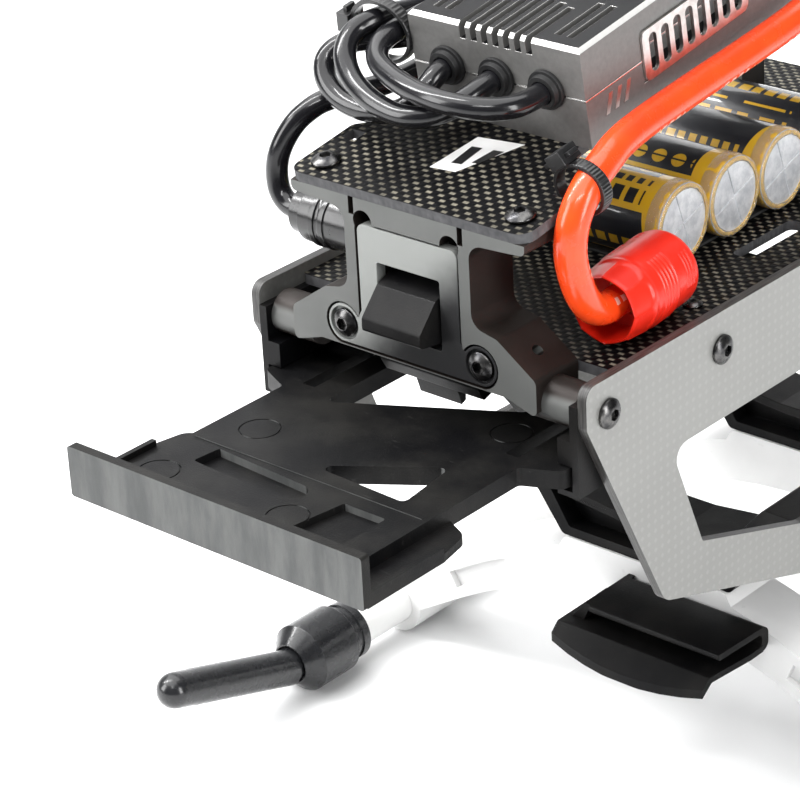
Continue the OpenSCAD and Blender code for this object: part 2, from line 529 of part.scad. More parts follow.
// Round shell with a faceted front grip and grooves behind it
module red_connector() color("red") in_connector() difference() {
    union() {
        rotate([-90, 0, 0]) rotate([0, 0, 15]) cylinder(r = conn_r / cos(15), h = 7, $fn = 12);
        along_y(6.9, 22, conn_r - 0.4);
        for (y = [9, 11.4, 13.8, 16.2]) along_y(y, y + 1.3, conn_r - 0.05);
    }
    along_y(-1, 8, conn_r - 1.2);
    along_y(7, 15, 3.6);
    along_y(14, 23, 4.2);
}
module red_contact() color("gold") in_connector() difference() {
    along_y(8, 21, 3.6);
    along_y(12, 22, 2.6);
    along_y(7, 11, 3.2);
}
module black_connector() color([0.1, 0.1, 0.1]) nose() translate(plug_at) difference() {
    union() {
        along_x(0, 3.2, 4.6);
        along_x(3.1, 19.5, 5.6);
        for (x = [6, 8.4, 15.8]) along_x(x, x + 1.3, 5.9);
    }
    along_x(-1, 6, 3.9);
    along_x(5, 10, 3.0);
    along_x(9, 21, 4.2);
}
module black_contact() color("gold") nose() translate(plug_at) difference() {
    along_x(6.2, 19, 3.0);
    along_x(10, 20, 2.2);
}

// ---------------------------------------------------------------- landing gear
function arm_centre(t) = let (u = 1 - t)
    u * u * u * [0, -81.4] + 3 * u * u * t * [30, -81.6] + 3 * u * t * t * [44, -92]
    + t * t * t * [skid_w / 2, skid_z];
// Moulded bow: wide arms that fall from a flat seat to a clamp ring on each skid
module bow() difference() {
    steps = 12;
    arm = [for (i = [0:steps]) arm_centre(i / steps)];
    dir = [for (i = [0:steps]) unit(arm[min(i + 1, steps)] - arm[max(i - 1, 0)])];
    edge = [for (i = [0:steps]) (5.4 - 1.4 * i / steps) * [-dir[i].y, dir[i].x]];
    union() {
        slab_y(-bow_half, bow_half, rounded(mirrored([[20.5, saddle_low, 2], [24, -82, 1]])));
        mirrored_x() {
            slab_y(-bow_half, bow_half, concat([for (i = [0:steps]) arm[i] + edge[i]],
                [for (i = [steps:-1:0]) arm[i] - edge[i]]));
            translate([skid_w / 2, 0, skid_z]) along_y(-bow_half, bow_half, skid_d / 2 + 2.4);
        }
    }
    translate([0, 0, -95]) cylinder(r = m3_r + fit, h = 22);
    translate([0, 0, -95]) cylinder(r = 3.6, h = 95 + bow_low);
    mirrored_x() {
        translate([skid_w / 2, 0, skid_z]) along_y(-9, 9, skid_d / 2 + 0.02);
        // Lightening groove along the front of each arm
        slab_y(-bow_half - 1, 1.5 - bow_half, concat([for (i = [6:9]) arm[i] + edge[i] * 0.45],
            [for (i = [9:-1:6]) arm[i] - edge[i] * 0.45]));
    }
}
module bow_front() color("white") nose() translate([0, bow_y[0], 0]) difference() {
    bow();
    for (x = clip_pegs) translate([x, 0, clip_z - 2.7]) along_y(-bow_half - 1, -2.9, m3_r + fit);
}
module bow_rear() color("white") nose() translate([0, bow_y[1], 0]) bow();
// Black block between the side plates that carries a bow
module saddle() difference() {
    slab_y(-7, 7, rounded(mirrored([[8, -66, 3], [21, -64.5, 3], [29.5, -54.5, 1.5],
        [plate_in - 0.1, -54.5, 1.5], [plate_in - 0.1, -65, 1], [28, -67, 2], [21.5, saddle_low, 1.5]])));
    slab_y(-8, -2.5, rounded(mirrored([[6, -68.2, 1], [19.8, -66.8, 1], [25.6, -64.2, 0.5],
        [19.6, -73.8, 1]])));
    mirrored_x() translate([0, 0, bow_hole_z]) along_x(30, 40, m3_r);
    translate([0, 0, saddle_low - 1]) cylinder(r = m3_r, h = 4.6);
}
module saddle_front() color([0.12, 0.12, 0.12]) nose() translate([0, bow_y[0], 0]) saddle();
module saddle_rear() color([0.12, 0.12, 0.12]) nose() translate([0, bow_y[1], 0]) saddle();
module bow_screws() color("darkslategray") nose() {
    for (y = bow_y) mirrored_x() translate([chassis_w / 2, y, bow_hole_z]) rotate([0, 90, 0]) screw(8);
    for (y = bow_y) translate([0, y, bow_low]) rotate([180, 0, 0]) screw(14);
}
// Spring clip in front of the front bow, folded over at its rear edge and closed at one side
module belly_clip() color([0.1, 0.1, 0.1]) nose() {
    back = bow_y[0] - bow_half;
    lip = [for (t = [-1:0.25:1]) [10.8 + 19 * t, back - 22.5 + 2.2 * t * t]];
    intersection() {
        slab_x(-4, 31.4, rounded([[back - 15.8, clip_z, 0.5], [back - 15.8, clip_z - 1.4, 0.5],
            [back - 2, clip_z - 1.4, 1], [back - 2, clip_z - 4.1, 1], [back - 12, clip_z - 4.1, 0],
            [back - 12, clip_z - 5.5, 0], [back, clip_z - 5.5, 1.8], [back, clip_z, 1.8]]));
        translate([0, 0, clip_z - 9]) linear_extrude(12) polygon([[-1.8, back - 17], [30.4, back - 17],
            [31.4, back + 1], [-4, back + 1]]);
    }
    intersection() {
        slab_x(-8.2, 31.4, rounded([[back - 18.2, clip_z - 4.1, 0.6], [back - 23.4, clip_z - 8.9, 0],
            [back - 22.4, clip_z - 10, 0], [back - 17.6, clip_z - 5.5, 0.8], [back - 1.8, clip_z - 5.5, 0],
            [back - 1.8, clip_z - 4.1, 0]]));
        translate([0, 0, clip_z - 12]) linear_extrude(12) polygon(concat(lip,
            [[31.4, back - 6], [31.4, back + 1], [-8.2, back + 1]]));
    }
    slab_y(back - 15, back, [[-3.6, clip_z], [-2, clip_z], [-4.6, clip_z - 5.5], [-8, clip_z - 5.5]]);
    for (x = clip_pegs) translate([x, 0, clip_z - 2.7]) along_y(back - 0.2, back + 4.5, m3_r);
}
module skid(x) translate([x * skid_w / 2, 0, skid_z]) children();
module skid_tube() difference() {
    along_y(44, plate_aft - 4, skid_d / 2);
    along_y(43, plate_aft, skid_d / 2 - 1);
}
module skid_tube_left() color("white") nose() skid(-1) skid_tube();
module skid_tube_right() color("white") nose() skid(1) skid_tube();
// Rod that turns up in front of the collar, with a ball end
module skid_tip() {
    rise = 18;
    rod_l = 34;
    rod_r = 3.9;
    along_y(31, 52, rod_r);
    translate([0, 31, 0]) rotate([-rise, 0, 0]) rotate([90, 0, 0]) rotate_extrude()
        polygon(concat([[0, -1.4], [rod_r + 0.1, -1.4], [rod_r + 0.1, rod_l - 5],
            [rod_r, rod_l - 4.6], [rod_r, rod_l]],
            [for (a = [10:10:80]) [rod_r * cos(a), rod_l + rod_r * sin(a)]], [[0, rod_l + rod_r]]));
}
module skid_tip_left() color([0.1, 0.1, 0.1]) nose() skid(-1) skid_tip();
module skid_tip_right() color([0.1, 0.1, 0.1]) nose() skid(1) skid_tip();
module skid_collar() difference() {
    union() {
        rotate([-90, 0, 0]) rotate_extrude() polygon([[0, 33], [4.6, 33], [collar_r, 36.4], [collar_r, 47],
            [6.2, 48.6], [6.2, 50], [6.6, 50], [6.6, 52], [0, 52]]);
        for (a = [0:45:315]) rotate([0, a, 0]) translate([collar_r - 1, 0, 0]) along_y(37, 46.6, 1);
    }
    along_y(30, 44, 3.95);
    along_y(30, 35, 4.3);
    along_y(44, 53, skid_d / 2 + 0.02);
}
module skid_collar_left() color([0.1, 0.1, 0.1]) nose() skid(-1) skid_collar();
module skid_collar_right() color([0.1, 0.1, 0.1]) nose() skid(1) skid_collar();
module skid_cap() rotate([-90, 0, 0]) difference() {
    rotate_extrude() polygon([[0, plate_aft - 16], [6.6, plate_aft - 16], [collar_r, plate_aft - 14],
        [collar_r, plate_aft - 3], [collar_r - 3, plate_aft], [0, plate_aft]]);
    translate([0, 0, plate_aft - 17]) cylinder(r = skid_d / 2 + 0.02, h = 13);
}
module skid_cap_left() color([0.1, 0.1, 0.1]) nose() skid(-1) skid_cap();
module skid_cap_right() color([0.1, 0.1, 0.1]) nose() skid(1) skid_cap();

side_plate_left();
side_plate_right();
rail_left();
rail_right();
front_bulkhead();
rear_support();
top_plate();
deck_plate();
latch_plate();
latch_lever();
latch_pin();
latch_spring();
latch_screws();
top_plate_screws();
side_plate_screws();
deck_screws();
battery_tray();
esc_base();
esc_cover();
esc_trim();
esc_grilles();
esc_grommets();
fan_frame();
fan_rotor();
cell_cans();
cell_sleeves();
cell_board();
cell_pad();
phase_wire_a();
phase_wire_b();
phase_wire_c();
phase_bullets();
wire_comb();
phase_tie();
red_lead();
black_lead();
lead_tie();
red_connector();
red_contact();
black_connector();
black_contact();
saddle_front();
saddle_rear();
bow_front();
bow_rear();
bow_screws();
belly_clip();
skid_tube_left();
skid_tube_right();
skid_tip_left();
skid_tip_right();
skid_collar_left();
skid_collar_right();
skid_cap_left();
skid_cap_right();
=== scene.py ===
import json
import math

import bmesh
import bpy
import numpy as np
from mathutils import Matrix, Vector


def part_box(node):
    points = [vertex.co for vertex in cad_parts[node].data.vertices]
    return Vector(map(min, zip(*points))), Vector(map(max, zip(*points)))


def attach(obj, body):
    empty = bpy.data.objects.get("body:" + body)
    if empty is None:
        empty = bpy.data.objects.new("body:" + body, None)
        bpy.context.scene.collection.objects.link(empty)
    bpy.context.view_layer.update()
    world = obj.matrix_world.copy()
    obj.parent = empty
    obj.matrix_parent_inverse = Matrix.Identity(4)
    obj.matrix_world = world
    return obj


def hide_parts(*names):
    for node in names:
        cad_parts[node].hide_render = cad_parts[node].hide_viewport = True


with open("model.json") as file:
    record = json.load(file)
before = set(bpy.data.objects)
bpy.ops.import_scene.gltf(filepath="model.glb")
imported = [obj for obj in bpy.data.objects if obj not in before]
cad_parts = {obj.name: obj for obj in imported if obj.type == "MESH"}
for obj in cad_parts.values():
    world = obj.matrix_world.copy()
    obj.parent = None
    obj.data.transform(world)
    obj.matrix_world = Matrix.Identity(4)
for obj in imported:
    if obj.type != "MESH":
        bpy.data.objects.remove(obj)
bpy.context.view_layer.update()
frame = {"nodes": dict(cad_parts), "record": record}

# Looks of a model helicopter's nose chassis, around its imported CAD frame.
# Nose frame: millimetres from the middle of the bulkhead's front face, X to port, Y aft, Z up.
# Incline frame: X, distance along the tilted top plate, height over it.

MM = 0.001
NOSE_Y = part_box("front_bulkhead")[0].y
NOSE_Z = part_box("deck_plate")[1].z
TILT = math.radians(9)
TOP_Z = 28.0
VIEW_AZIMUTH, VIEW_ELEVATION, VIEW_ROLL = (math.radians(a) for a in (42.4, 25.8, -3.12))
VIEW_FROM = (340.4, -375.63, 238.06)
LENS, SHIFT_X, SHIFT_Y = 139.5, -0.0025, -0.025


def nose(x, y, z):
    return Vector((x * MM, NOSE_Y + y * MM, NOSE_Z + z * MM))


def incline(x, s, h):
    sine, cosine = math.sin(TILT), math.cos(TILT)
    return nose(x, s * cosine - h * sine, TOP_Z + s * sine + h * cosine)


# ---------------------------------------------------------------- camera
def make_camera():
    """Long lens at the nose's port side, slightly rolled."""
    sa, ca = math.sin(VIEW_AZIMUTH), math.cos(VIEW_AZIMUTH)
    se, ce = math.sin(VIEW_ELEVATION), math.cos(VIEW_ELEVATION)
    level = Vector((ca, sa, 0))
    upright = Vector((-sa * se, ca * se, ce))
    back = Vector((sa * ce, -ca * ce, se))
    right = math.cos(VIEW_ROLL) * level + math.sin(VIEW_ROLL) * upright
    up = -math.sin(VIEW_ROLL) * level + math.cos(VIEW_ROLL) * upright
    data = bpy.data.cameras.new("camera")
    data.sensor_width = 36
    data.lens = LENS
    data.shift_x = SHIFT_X
    data.shift_y = SHIFT_Y
    camera = bpy.data.objects.new("camera", data)
    matrix = Matrix((right, up, back)).transposed().to_4x4()
    matrix.translation = nose(*VIEW_FROM)
    camera.matrix_world = matrix
    bpy.context.collection.objects.link(camera)
    bpy.context.scene.camera = camera


make_camera()


# ---------------------------------------------------------------- material nodes
class Net:
    """A material's node tree, with short calls for its nodes."""

    def __init__(self, name, **sockets):
        self.material = bpy.data.materials.new(name)
        self.material.use_nodes = True
        self.tree = self.material.node_tree
        self.shader = self.tree.nodes["Principled BSDF"]
        coordinates = self.tree.nodes.new("ShaderNodeTexCoord")
        self.place = coordinates.outputs["Object"]
        self.facing = coordinates.outputs["Normal"]
        self.uv = coordinates.outputs["UV"]
        self.set(**sockets)

    def set(self, **sockets):
        for name, value in sockets.items():
            self.plug(self.shader.inputs[name.replace("_", " ")], value)

    def plug(self, socket, value):
        if isinstance(value, bpy.types.NodeSocket):
            self.tree.links.new(value, socket)
        elif isinstance(value, tuple) and len(value) == 3 and socket.type == "RGBA":
            socket.default_value = (*value, 1)
        else:
            socket.default_value = value

    def add(self, kind, inputs, out=0, **settings):
        node = self.tree.nodes.new("ShaderNode" + kind)
        for name, value in settings.items():
            setattr(node, name, value)
        for key, value in inputs.items():
            self.plug(node.inputs[key], value)
        return node.outputs[out]

    def math(self, operation, *values):
        return self.add("Math", dict(enumerate(values)), operation=operation)

    def product(self, *values):
        result = values[0]
        for value in values[1:]:
            result = self.math("MULTIPLY", result, value)
        return result

    def most(self, *values):
        result = values[0]
        for value in values[1:]:
            result = self.math("MAXIMUM", result, value)
        return result

    def flip(self, value):
        return self.math("SUBTRACT", 1.0, value)

    def band(self, value, middle, half):
        return self.math("COMPARE", value, middle, half)

    def mix(self, factor, a, b):
        return self.add("Mix", {0: factor, 6: a, 7: b}, out=2, data_type="RGBA")

    def blend(self, factor, a, b):
        return self.add("Mix", {0: factor, 2: a, 3: b})

    def step(self, value, low, high, to_low=0.0, to_high=1.0):
        inputs = {
            "Value": value, "From Min": low, "From Max": high, "To Min": to_low, "To Max": to_high,
        }
        return self.add("MapRange", inputs, interpolation_type="SMOOTHSTEP")

    def noise(self, scale, detail=3.0, roughness=0.55, vector=None):
        inputs = {
            "Vector": vector or self.place, "Scale": scale, "Detail": detail, "Roughness": roughness,
        }
        return self.add("TexNoise", inputs)

    def speckle(self, size):
        return self.add("TexVoronoi", {"Vector": self.place, "Scale": 1 / size})

    def stretch(self, factors):
        return self.add("Mapping", {"Vector": self.place, "Scale": factors})

    def axes(self, vector):
        node = self.tree.nodes.new("ShaderNodeSeparateXYZ")
        self.plug(node.inputs[0], vector)
        return node.outputs[0], node.outputs[1], node.outputs[2]

    def toward(self, x, y, z, low=0.6, high=0.9):
        """1 where the surface faces along (x, y, z), and 0 where it turns away."""
        inputs = {0: self.facing, 1: (x, y, z)}
        dot = self.add("VectorMath", inputs, out="Value", operation="DOT_PRODUCT")
        return self.step(dot, low, high)

    def bump(self, height, distance, strength=1.0):
        return self.add("Bump", {"Strength": strength, "Distance": distance, "Height": height})


def weave(net, u, v, pitch):
    """Plain weave: 1 where the tow along v is on top, the rise across each tow, and the height."""
    across = net.math("DIVIDE", u, pitch)
    along = net.math("DIVIDE", v, pitch)
    cell = net.math("ADD", net.math("FLOOR", across), net.math("FLOOR", along))
    over = net.math("FLOORED_MODULO", cell, 2.0)
    arc_u = net.math("SINE", net.product(net.math("FRACT", across), math.pi))
    arc_v = net.math("SINE", net.product(net.math("FRACT", along), math.pi))
    height = net.blend(over, net.product(arc_v, arc_u), net.math("SQRT", net.product(arc_u, arc_v)))
    return over, arc_u, arc_v, height


def carbon_gloss():
    """Dark glossy plates whose raised tows catch the light in short warm dashes, painted into the
    base colour as highlights.
    """
    net = Net("carbon_gloss", Coat_Roughness=0.25, Specular_IOR_Level=0.06)
    x, y, _ = net.axes(net.place)
    over, arc_u, arc_v, height = weave(net, x, y, 1.42 * MM)
    cloud = net.step(net.noise(90, 2), 0.35, 0.7)
    fibres = net.step(net.noise(1, 2, vector=net.stretch((300, 5200, 300))), 0.3, 0.75)
    # Painted highlight: a warm dash on each tow that lies on top, in place of the light it would
    # catch.
    shine = net.product(
        net.step(arc_v, 0.45, 0.95), net.step(arc_u, 0.05, 0.5), net.blend(cloud, 0.35, 1.0)
    )
    dash = net.product(over, shine, net.blend(fibres, 0.55, 1.0))
    face = net.mix(dash, (0.003, 0.003, 0.0035), (0.26, 0.24, 0.19))
    edge = net.mix(net.noise(400, 2), (0.03, 0.03, 0.032), (0.14, 0.14, 0.145))
    flat = net.most(net.toward(0, -math.sin(TILT), math.cos(TILT)), net.toward(0, 0, -1))
    net.set(Base_Color=net.mix(flat, edge, face))
    net.set(Roughness=net.blend(dash, 0.42, 0.3))
    net.set(Normal=net.bump(height, 0.09 * MM, 0.7))
    return net.material


def carbon_satin():
    """Side plates: silver-grey faces with a faint slanted weave, and dark cut edges."""
    net = Net("carbon_satin", Coat_Weight=0.15, Coat_Roughness=0.35)
    _, y, z = net.axes(net.place)
    root = math.sqrt(0.5)
    u = net.product(net.math("ADD", y, z), root)
    v = net.product(net.math("SUBTRACT", y, z), root)
    over, arc_u, arc_v, height = weave(net, u, v, 1.4 * MM)
    cloud = net.noise(22, 3)
    dots = net.product(over, net.step(arc_u, 0.3, 0.95), net.step(arc_v, 0.3, 0.95))
    base = net.mix(cloud, (0.19, 0.19, 0.182), (0.28, 0.28, 0.268))
    face = net.mix(net.product(dots, 0.3), base, (0.33, 0.33, 0.315))
    layers = net.step(net.noise(1, 1, vector=net.stretch((5200, 160, 160))), 0.4, 0.6)
    edge = net.mix(layers, (0.01, 0.009, 0.009), (0.045, 0.043, 0.04))
    flat = net.most(net.toward(1, 0, 0), net.toward(-1, 0, 0))
    net.set(Base_Color=net.mix(flat, edge, face), Metallic=net.product(flat, 0.35))
    net.set(Roughness=net.blend(flat, 0.5, net.blend(cloud, 0.36, 0.46)))
    net.set(Normal=net.bump(height, 0.02 * MM, 0.5))
    return net.material


def nylon(name, dark, light, rough, grain=0.03):
    """Moulded nylon: fine grain, cloudy sheen and pale rub marks."""
    net = Net(name, Specular_IOR_Level=0.1)
    cloud = net.step(net.noise(60, 4), 0.35, 0.72)
    rub = net.step(net.noise(1, 4, 0.7, net.stretch((160, 900, 400))), 0.62, 0.8)
    specks = net.flip(net.step(net.speckle(1.1 * MM), 0.0, 0.09))
    tone = net.mix(cloud, dark, light)
    worn = tuple(min(1.0, c * 2.6 + 0.02) for c in light)
    net.set(Base_Color=net.mix(net.product(net.most(rub, specks), 0.4), tone, worn))
    net.set(Roughness=net.blend(net.noise(180, 3), rough - 0.1, rough + 0.12))
    net.set(Normal=net.bump(net.noise(3200, 3), grain * MM, 0.8))
    return net


def plain_nylon():
    return nylon("nylon", (0.003, 0.003, 0.0035), (0.011, 0.0105, 0.010), 0.36).material


def tray_nylon():
    """Tray: black nylon, with a painted streaky grey reflection on the front face of its lip."""
    net = nylon("tray_nylon", (0.004, 0.004, 0.0045), (0.015, 0.0145, 0.0135), 0.4, 0.05)
    floor = net.shader.inputs["Base Color"].links[0].from_socket
    # Painted reflection: faces turned to the front are painted a streaky grey in place of the light
    # they reflect.
    streaks = net.noise(1, 5, 0.65, net.stretch((170, 170, 38)))
    lip = net.mix(net.step(streaks, 0.3, 0.75), (0.085, 0.088, 0.088), (0.15, 0.153, 0.15))
    net.set(Base_Color=net.mix(net.product(net.toward(0, -1, 0, 0.9, 0.99), 0.85), floor, lip))
    return net.material


def anodised():
    """Bead-blasted bulkhead, with painted light on its grey front and painted shade on its
    brown-black sides.
    """
    net = Net("anodised", Metallic=0.35, Specular_IOR_Level=0.3)
    cloud = net.noise(70, 3)
    # Painted light and shade: the front facing the lamps is painted grey, the sides are painted near
    # black with a warm reflected tint.
    front = net.mix(cloud, (0.09, 0.093, 0.09), (0.145, 0.148, 0.143))
    sides = net.mix(cloud, (0.009, 0.006, 0.005), (0.03, 0.024, 0.021))
    net.set(Base_Color=net.mix(net.toward(0, -1, 0, 0.75, 0.97), sides, front))
    net.set(Roughness=net.blend(net.noise(600, 3), 0.4, 0.56))
    net.set(Normal=net.bump(net.noise(4200, 2), 0.012 * MM, 0.7))
    return net.material


def latch_grey():
    """Grey latch plate with painted shade that darkens it towards its lower port corner."""
    net = Net("latch_grey", Metallic=0.2, Specular_IOR_Level=0.3)
    x, _, z = net.axes(net.place)
    # Painted shade: the colour darkens towards the plate's lower port corner, with a noisy edge.
    fall = net.math("SUBTRACT", net.math("SUBTRACT", NOSE_Z + 9 * MM, z), net.product(x, -0.9))
    painted_shade = net.step(net.math("ADD", fall, net.product(net.noise(160, 3), 5 * MM)), -3 * MM, 12 * MM)
    tone = net.mix(painted_shade, (0.25, 0.258, 0.248), (0.02, 0.02, 0.021))
    net.set(Base_Color=tone)
    net.set(Roughness=net.blend(net.noise(300, 3), 0.34, 0.5))
    net.set(Normal=net.bump(net.noise(2600, 2), 0.015 * MM, 0.7))
    return net.material


def metal(name, dark, light, rough, brushed=None):
    net = Net(name, Metallic=1.0)
    grain = net.noise(1, 4, 0.6, net.stretch(brushed)) if brushed else net.noise(500, 4)
    net.set(Base_Color=net.mix(net.step(grain, 0.3, 0.75), dark, light))
    net.set(Roughness=net.blend(net.noise(240, 3), rough - 0.08, rough + 0.1))
    net.set(Normal=net.bump(grain, 0.008 * MM, 0.5))
    return net.material


def controller():
    """Controller case: dark top, blasted sides, bright machined chamfers round the top."""
    net = Net("controller_dark", Metallic=0.45, Specular_IOR_Level=0.25)
    up = (0.0, -math.sin(TILT), math.cos(TILT))
    rise = net.add("VectorMath", {0: net.facing, 1: up}, out="Value", operation="DOT_PRODUCT")
    chamfer = net.band(rise, 0.70, 0.16)
    grain = net.noise(900, 3)
    side = net.mix(grain, (0.15, 0.148, 0.143), (0.23, 0.226, 0.22))
    top = net.mix(grain, (0.006, 0.006, 0.007), (0.016, 0.016, 0.017))
    bright = net.mix(grain, (0.72, 0.71, 0.68), (0.9, 0.89, 0.87))
    body = net.mix(net.step(rise, 0.8, 0.95), side, top)
    net.set(Base_Color=net.mix(chamfer, body, bright))
    net.set(Roughness=net.blend(chamfer, net.blend(grain, 0.38, 0.5), 0.24))
    net.set(Normal=net.bump(net.noise(5200, 2), 0.014 * MM, 0.7))
    return net.material


def silicone(name, dark, light, rough, mark, prints):
    """Silicone lead with faint dents, dust and a broken line of plain printed dashes."""
    net = Net(name, Specular_IOR_Level=0.3, Coat_Weight=0.35, Coat_Roughness=0.1)
    around, along, _ = net.axes(net.uv)
    tone = net.mix(net.noise(110, 3), dark, light)
    group = net.math("LESS_THAN", net.math("FRACT", net.math("DIVIDE", along, 21 * MM)), 0.42)
    dash = net.math("LESS_THAN", net.math("FRACT", net.math("DIVIDE", along, 2.3 * MM)), 0.55)
    wobble = net.product(net.math("SUBTRACT", net.noise(700, 1), 0.5), 0.05)
    line = net.band(net.math("ADD", around, wobble), prints, 0.033)
    dust = net.flip(net.step(net.speckle(1.6 * MM), 0.0, 0.06))
    printed = net.mix(net.product(group, dash, line, 0.9), tone, mark)
    net.set(Base_Color=net.mix(net.product(dust, 0.25), printed, (0.5, 0.5, 0.48)))
    net.set(Roughness=net.blend(net.noise(300, 3), rough - 0.06, rough + 0.1))
    net.set(Normal=net.bump(net.noise(420, 3), 0.05 * MM, 0.5))
    return net.material


def plastic(name, dark, light, rough, coat=0.3):
    net = Net(name, Coat_Weight=coat, Coat_Roughness=0.15, Specular_IOR_Level=0.35)
    net.set(Base_Color=net.mix(net.noise(150, 4), dark, light))
    net.set(Roughness=net.blend(net.noise(500, 3), rough - 0.08, rough + 0.1))
    net.set(Normal=net.bump(net.noise(1500, 3), 0.02 * MM, 0.6))
    return net.material


def sleeve():
    """Printed sleeve: black and gold fields with rows of plain bars and ovals, under clear wrap."""
    net = Net("sleeve_yellow", Coat_Weight=1.0, Coat_Roughness=0.06, Specular_IOR_Level=0.5)
    around, along, _ = net.axes(net.uv)
    turn = net.math("FRACT", around)
    black, gold = (0.012, 0.013, 0.018), (0.83, 0.50, 0.02)
    ink = net.noise(1200, 1)

    def bars(middle, half, size, share):
        column = net.math("DIVIDE", along, size)
        random = net.add("TexWhiteNoise", {"W": net.math("FLOOR", column)}, noise_dimensions="1D")
        on = net.math("LESS_THAN", net.math("FRACT", column), net.blend(random, share * 0.6, share))
        return net.product(net.band(turn, middle, half), on)

    yellow_field = net.band(turn, 0.40, 0.085)
    swing = net.product(net.math("SINE", net.product(around, 6.283)), 1.6 * MM)
    slanted_end = net.math("ADD", along, swing)
    end_band = net.math("GREATER_THAN", slanted_end, 35.6 * MM)
    fields = net.most(yellow_field, end_band)
    inked = net.most(bars(0.36, 0.016, 2.6 * MM, 0.75), bars(0.43, 0.030, 3.4 * MM, 0.8))
    spot = net.math("SUBTRACT", net.math("FRACT", net.math("DIVIDE", along, 4.6 * MM)), 0.5)
    height = net.product(net.math("SUBTRACT", turn, 0.265), 11.2)
    squares = net.math("ADD", net.product(spot, spot), net.product(height, height))
    oval = net.math("LESS_THAN", squares, 0.115)
    slit = net.band(turn, 0.265, 0.004)
    ovals = net.product(oval, net.flip(slit))
    rows = net.most(bars(0.62, 0.022, 3.1 * MM, 0.82), bars(0.80, 0.055, 5.4 * MM, 0.8), ovals)
    rows = net.most(rows, bars(0.70, 0.006, 11 * MM, 0.95), bars(0.10, 0.020, 2.7 * MM, 0.75))
    lines = net.product(rows, net.math("LESS_THAN", along, 33.4 * MM))
    on_black = net.mix(lines, black, net.mix(ink, (0.62, 0.36, 0.02), gold))
    on_gold = net.mix(net.product(inked, net.math("LESS_THAN", along, 34.4 * MM)), gold, black)
    net.set(Base_Color=net.mix(fields, on_black, on_gold))
    net.set(Roughness=net.blend(ink, 0.24, 0.4))
    crease = net.product(net.noise(330, 4, 0.7), net.step(along, 30 * MM, 39 * MM, 0.15, 1.0))
    net.set(Normal=net.bump(crease, 0.5 * MM, 0.5))
    return net.material


def clear_film():
    """Wrinkled clear wrap round the ends of the cells."""
    net = Net("clear_film", Transmission_Weight=0.85, Roughness=0.08, IOR=1.4)
    net.set(Base_Color=net.mix(net.noise(260, 3), (0.95, 0.94, 0.9), (1.0, 1.0, 1.0)))
    net.set(Normal=net.bump(net.noise(700, 4, 0.7), 0.5 * MM, 0.9))
    return net.material


def can_silver():
    """Rolled aluminium with a cloudy bloom."""
    net = Net("can_silver", Metallic=0.45)
    mottle = net.noise(420, 5, 0.65)
    net.set(Base_Color=net.mix(net.step(mottle, 0.3, 0.7), (0.62, 0.64, 0.67), (0.88, 0.89, 0.91)))
    net.set(Roughness=net.blend(mottle, 0.34, 0.55))
    net.set(Normal=net.bump(net.noise(1100, 3), 0.03 * MM, 0.6))
    return net.material


def build_materials():
    steel_grain = (300, 2400, 2400)
    return {
        "carbon_gloss": carbon_gloss(),
        "carbon_satin": carbon_satin(),
        "nylon": plain_nylon(),
        "tray_nylon": tray_nylon(),
        "anodised": anodised(),
        "latch_grey": latch_grey(),
        "steel": metal("steel", (0.5, 0.5, 0.5), (0.72, 0.72, 0.72), 0.28, steel_grain),
        "dark_screw": metal("dark_screw", (0.03, 0.03, 0.033), (0.14, 0.137, 0.133), 0.26),
        "controller_dark": controller(),
        "bright_trim": metal("bright_trim", (0.75, 0.74, 0.72), (0.9, 0.89, 0.88), 0.24),
        "grille_silver": metal("grille_silver", (0.62, 0.585, 0.56), (0.82, 0.79, 0.77), 0.33),
        "rubber": plastic("rubber", (0.008, 0.008, 0.009), (0.02, 0.02, 0.02), 0.5, 0.0),
        "fan_black": plastic("fan_black", (0.008, 0.008, 0.009), (0.018, 0.018, 0.018), 0.42),
        "can_silver": can_silver(),
        "sleeve_yellow": sleeve(),
        "board_green": plastic("board_green", (0.01, 0.07, 0.035), (0.02, 0.13, 0.06), 0.3),
        "foam": plastic("foam", (0.02, 0.02, 0.02), (0.05, 0.05, 0.05), 0.85, 0.0),
        "wire_black": silicone(
            "wire_black", (0.004, 0.004, 0.005), (0.010, 0.010, 0.012), 0.2, (0.75, 0.76, 0.78), 0.30
        ),
        "wire_red": silicone(
            "wire_red", (0.72, 0.035, 0.006), (0.95, 0.085, 0.012), 0.24, (0.95, 0.6, 0.5), 0.62
        ),
        "tie_black": plastic("tie_black", (0.006, 0.006, 0.007), (0.02, 0.02, 0.02), 0.3),
        "connector_red": plastic(
            "connector_red", (0.66, 0.012, 0.004), (0.82, 0.026, 0.009), 0.34, 0.2
        ),
        "connector_black": plastic(
            "connector_black", (0.005, 0.005, 0.006), (0.014, 0.014, 0.014), 0.24
        ),
        "contact_gold": metal("contact_gold", (0.75, 0.48, 0.14), (0.95, 0.66, 0.25), 0.26),
        "skid_white": plastic("skid_white", (0.74, 0.74, 0.73), (0.84, 0.84, 0.83), 0.32),
        "bow_white": plastic("bow_white", (0.72, 0.72, 0.715), (0.8, 0.8, 0.795), 0.3),
        "skid_black": plastic("skid_black", (0.007, 0.007, 0.008), (0.018, 0.019, 0.021), 0.26, 0.4),
    }


MATERIALS = build_materials()


